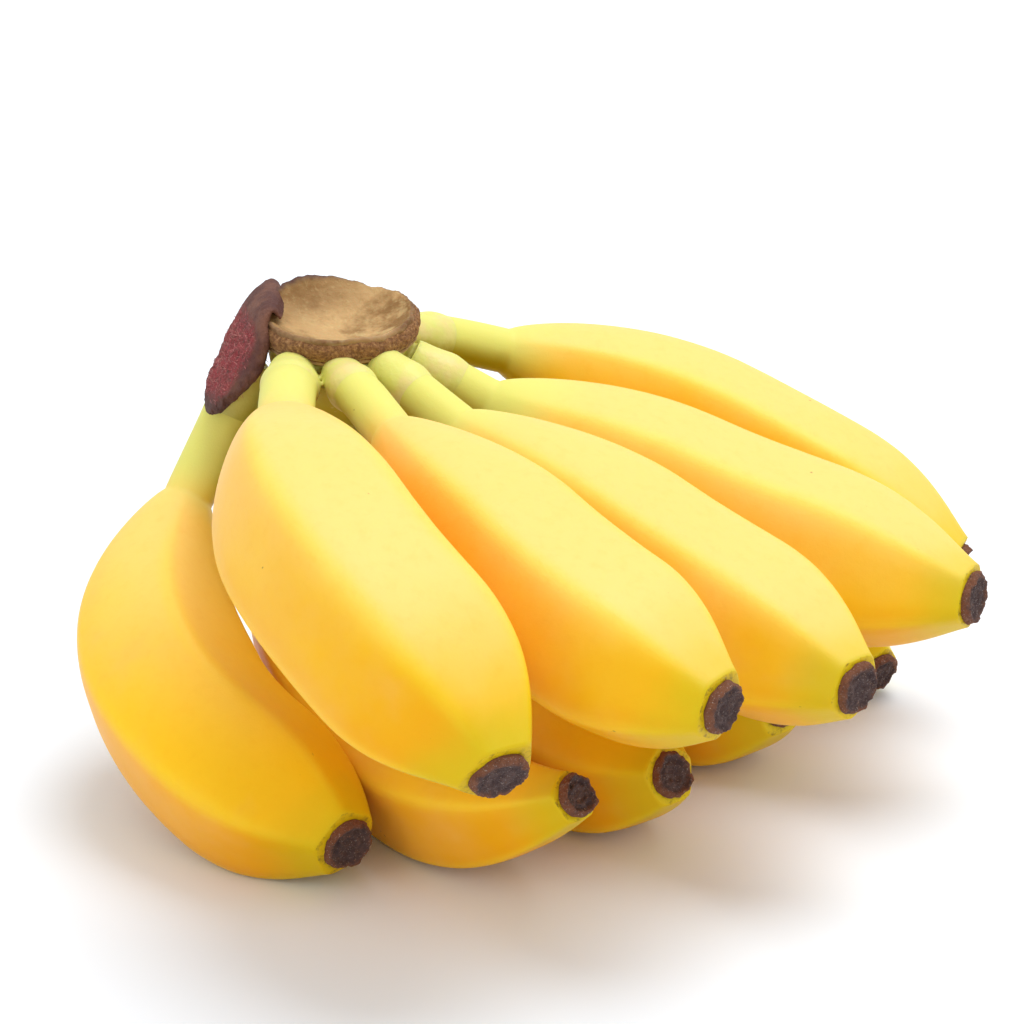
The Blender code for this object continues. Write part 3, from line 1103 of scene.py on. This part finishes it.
def make_flap(look):
    """The dried flap, ragged along both sides, with a torn patch across its middle."""
    rows = 110
    columns = 84
    sections = smooth_rows([(*middle, width, thick) for middle, width, thick in FLAP_SECTIONS], rows)
    centre = crown_middle()
    points = np.empty((rows, columns, 3))
    along = np.empty((rows, columns))
    torn = np.empty((rows, columns))
    for i, (x, y, z, width, thick) in enumerate(sections):
        middle = centre + Vector((x, y, z)) * MM
        before = sections[max(i - 1, 0)][:3]
        after = sections[min(i + 1, rows - 1)][:3]
        run = Vector(after - before).normalized()
        share = i / (rows - 1)
        turned = smoothstep(share, FLAP_TURN_START, FLAP_TURN_END)
        across = FLAP_ACROSS[0].lerp(FLAP_ACROSS[1], turned).normalized()
        outward = across.cross(run).normalized()
        for j in range(columns):
            turn = math.tau * j / columns
            wide = superellipse(math.cos(turn), width)
            deep = superellipse(math.sin(turn), thick)
            point = middle + across * (wide * MM) + outward * (deep * MM)
            ragged = bumps_at(point, FLAP_RAG_SIZE, 4, 4)
            point += across * (ragged * FLAP_RAGS * math.cos(turn) * smoothstep(share, *FLAP_RAGGED))
            patch = smoothstep(share, *TORN_PATCH[0]) * (1 - smoothstep(share, *TORN_PATCH[1]))
            patch *= smoothstep(0.9 - abs(wide) / max(width / 2, 0.1), 0.0, 0.3) * (ragged * 0.5 + 0.9)
            rough = bumps_at(point, FLAP_CRUST_SIZE, 5, 4) * (0.14 + 0.25 * patch) * MM
            point += outward * (rough * math.copysign(1, math.sin(turn)))
            points[i, j] = point
            along[i, j] = share
            torn[i, j] = clamp(patch)
    return grid_object("crown_flap", points, flap_material(look), {"along": along, "torn": torn})


def fibre_tree():
    """Scatters thin torn fibres over the torn patch of the flap."""
    tree, inputs, identifiers = new_geometry_tree(
        "Torn fibres",
        {"Density": "Float", "Length": "Float", "Thickness": "Float", "Seed": "Int", "Fibre": "Material"},
    )
    start = Wire(tree)
    scatter = tree.nodes.new("GeometryNodeDistributePointsOnFaces")
    tree.links.new(inputs["Geometry"].socket, scatter.inputs["Mesh"])
    tree.links.new((inputs["Density"] * named(start, "torn")).socket, scatter.inputs["Density"])
    tree.links.new(inputs["Seed"].socket, scatter.inputs["Seed"])
    spots = Wire(tree, scatter.outputs["Points"])
    turned = Wire(tree, scatter.outputs["Rotation"])
    bristle = start.node(
        "GeometryNodeMeshCone",
        None,
        {
            "Vertices": 4,
            "Side Segments": 3,
            "Radius Top": inputs["Thickness"] * 0.3,
            "Radius Bottom": inputs["Thickness"],
            "Depth": inputs["Length"],
        },
    )
    lean = start.node(
        "FunctionNodeRandomValue",
        {"data_type": "FLOAT_VECTOR"},
        {
            0: (-FIBRE_LEAN, -FIBRE_LEAN, 0.0),
            1: (FIBRE_LEAN, FIBRE_LEAN, FIBRE_SPIN),
            "Seed": inputs["Seed"],
        },
    )
    bent = start.node("FunctionNodeRotateRotation", None, {"Rotation": turned, "Rotate By": lean})
    size = start.node(
        "FunctionNodeRandomValue",
        {"data_type": "FLOAT"},
        {2: FIBRE_SIZES[0], 3: FIBRE_SIZES[1], "Seed": inputs["Seed"]},
        out=1,
    )
    placed = start.node(
        "GeometryNodeInstanceOnPoints",
        None,
        {"Points": spots, "Instance": bristle, "Rotation": bent, "Scale": size},
    )
    real = start.node("GeometryNodeRealizeInstances", None, {"Geometry": placed})
    painted = start.node(
        "GeometryNodeSetMaterial", None, {"Geometry": real, "Material": inputs["Fibre"]}
    )
    close_tree(tree, painted)
    return tree, identifiers


def fibre_material(look):
    """Red fibres, some bleached."""
    material, shader, start = new_material("torn_fibre")
    place = start.node("ShaderNodeTexCoord", out=3)
    tone = place.noise(900, 2.0)
    colour = layered(start, look.red_fibre, (tone.rise(0.35, 0.65), paint(202, 138, 132)))
    feed(shader, Base_Color=colour, Roughness=0.7)
    return material


# ---------------------------------------------------------------------------------------------
# Operators


class BANANAS_OT_skins(bpy.types.Operator):
    """Grow the skin of each banana and put its dried flower end on it"""

    bl_idname = "bananas.skins"
    bl_label = "Bananas"

    def execute(self, context):
        skin = context.scene.banana_skin
        dried = context.scene.banana_dried
        material = skin_material(skin)
        stub = stub_material(dried)
        tree, identifiers = skin_tree()
        for seed, (name, banana) in enumerate(BANANAS.items(), 1):
            obj = grown(
                line_mesh(name),
                tree,
                identifiers,
                {
                    "Girth": float(banana.girth),
                    "Taper": float(banana.taper),
                    "Stalk Radius": float(banana.stalk),
                    "Roll": math.pi / RIDGES if name in TURNED_BANANAS else 0.0,
                    "Ridge Line": skin.ridge_line,
                    "Unevenness": skin.unevenness,
                    "Seed": float(seed),
                    "Skin": material,
                },
            )
            shift = settle_in_box(obj, name)
            obj["shift"] = list(shift)
            press_on_surface(obj.data)
            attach(obj, "root")
            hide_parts(name)
            end = dried_end(name, shift, dried, stub, seed)
            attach(end, "root")
        return {"FINISHED"}


class BANANAS_OT_crown(bpy.types.Operator):
    """Build the cut face, the corky band and the base that the stalks grow out of"""

    bl_idname = "bananas.crown"
    bl_label = "Crown"

    def execute(self, context):
        look = context.scene.banana_dried
        shifts = {name: Vector(bpy.data.objects[name + "_skin"]["shift"]) for name in BANANAS}
        cut = make_cut_face(look)
        for piece in (cut, make_cork_band(look), make_base(look, shifts)):
            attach(piece, "root")
        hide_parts("crown")
        return {"FINISHED"}


class BANANAS_OT_flap(bpy.types.Operator):
    """Build the dried flap and its torn fibres"""

    bl_idname = "bananas.flap"
    bl_label = "Dried flap"

    def execute(self, context):
        look = context.scene.banana_dried
        flap = make_flap(look)
        tree, identifiers = fibre_tree()
        area = sum(polygon.area for polygon in flap.data.polygons)
        fibres = grown(
            bpy.data.objects.new("crown_flap_fibres", flap.data.copy()),
            tree,
            identifiers,
            {
                "Density": look.fibre_count / area,
                "Length": look.fibre_length,
                "Thickness": FIBRE_THICKNESS,
                "Seed": 5,
                "Fibre": fibre_material(look),
            },
        )
        for piece in (flap, fibres):
            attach(piece, "root")
        return {"FINISHED"}


class BANANAS_OT_stage(bpy.types.Operator):
    """Lay the floor and set the light and the camera"""

    bl_idname = "bananas.stage"
    bl_label = "Stage"

    def execute(self, context):
        look = context.scene.banana_stage
        scene = context.scene
        mesh = bpy.data.meshes.new("floor")
        half = look.floor_size / 2
        mesh.from_pydata(
            [(-half, -half, 0), (half, -half, 0), (half, half, 0), (-half, half, 0)], [], [(0, 1, 2, 3)]
        )
        material, shader, _ = new_material("floor_matte")
        feed(shader, Base_Color=(*look.floor, 1), Roughness=0.9, Specular_IOR_Level=0.1)
        mesh.materials.append(material)
        linked("floor", mesh)

        world = bpy.data.worlds.new("studio")
        world.use_nodes = True
        background = world.node_tree.nodes["Background"]
        background.inputs["Color"].default_value = WORLD_COLOUR
        background.inputs["Strength"].default_value = WORLD_STRENGTH
        scene.world = world
        for name, light in LIGHTS.items():
            add_area_light(name, *light)

        camera = bpy.data.cameras.new("camera")
        camera.lens = CAMERA_LENS
        camera.clip_start = 0.01
        seen = linked("camera", camera)
        back = Vector((0, -math.cos(CAMERA_PITCH), math.sin(CAMERA_PITCH)))
        seen.location = AIM_POINT + back * CAMERA_DISTANCE
        seen.rotation_euler = (math.pi / 2 - CAMERA_PITCH, 0, 0)
        scene.camera = seen
        scene.view_settings.view_transform = "Standard"
        return {"FINISHED"}


def add_area_light(name, place, aim, size, power):
    light = bpy.data.lights.new(name, "AREA")
    light.shape = "DISK"
    light.size = size
    light.energy = power
    obj = linked(name, light)
    obj.location = place
    obj.rotation_euler = (Vector(aim) - Vector(place)).to_track_quat("-Z", "Y").to_euler()


class BANANAS_PT_panel(bpy.types.Panel):
    bl_label = "Bananas"
    bl_idname = "BANANAS_PT_panel"
    bl_space_type = "VIEW_3D"
    bl_region_type = "UI"
    bl_category = "Bananas"

    def draw(self, context):
        for operator in OPERATORS:
            self.layout.operator(operator.bl_idname)
        for group in ("banana_skin", "banana_dried", "banana_stage"):
            look = getattr(context.scene, group)
            box = self.layout.box()
            for name in look.__annotations__:
                box.prop(look, name)


OPERATORS = (BANANAS_OT_skins, BANANAS_OT_crown, BANANAS_OT_flap, BANANAS_OT_stage)
CLASSES = (BananaSkinLook, DriedPartsLook, StageLook, *OPERATORS, BANANAS_PT_panel)


def register():
    for item in CLASSES:
        bpy.utils.register_class(item)
    bpy.types.Scene.banana_skin = bpy.props.PointerProperty(type=BananaSkinLook)
    bpy.types.Scene.banana_dried = bpy.props.PointerProperty(type=DriedPartsLook)
    bpy.types.Scene.banana_stage = bpy.props.PointerProperty(type=StageLook)


def unregister():
    del bpy.types.Scene.banana_stage
    del bpy.types.Scene.banana_dried
    del bpy.types.Scene.banana_skin
    for item in reversed(CLASSES):
        bpy.utils.unregister_class(item)


def main():
    for name in ("Cube", "Light", "Camera"):
        if name in bpy.data.objects:
            bpy.data.objects.remove(bpy.data.objects[name])
    register()
    bpy.ops.bananas.skins()
    bpy.ops.bananas.crown()
    bpy.ops.bananas.flap()
    bpy.ops.bananas.stage()


if __name__ == "__main__":
    main()
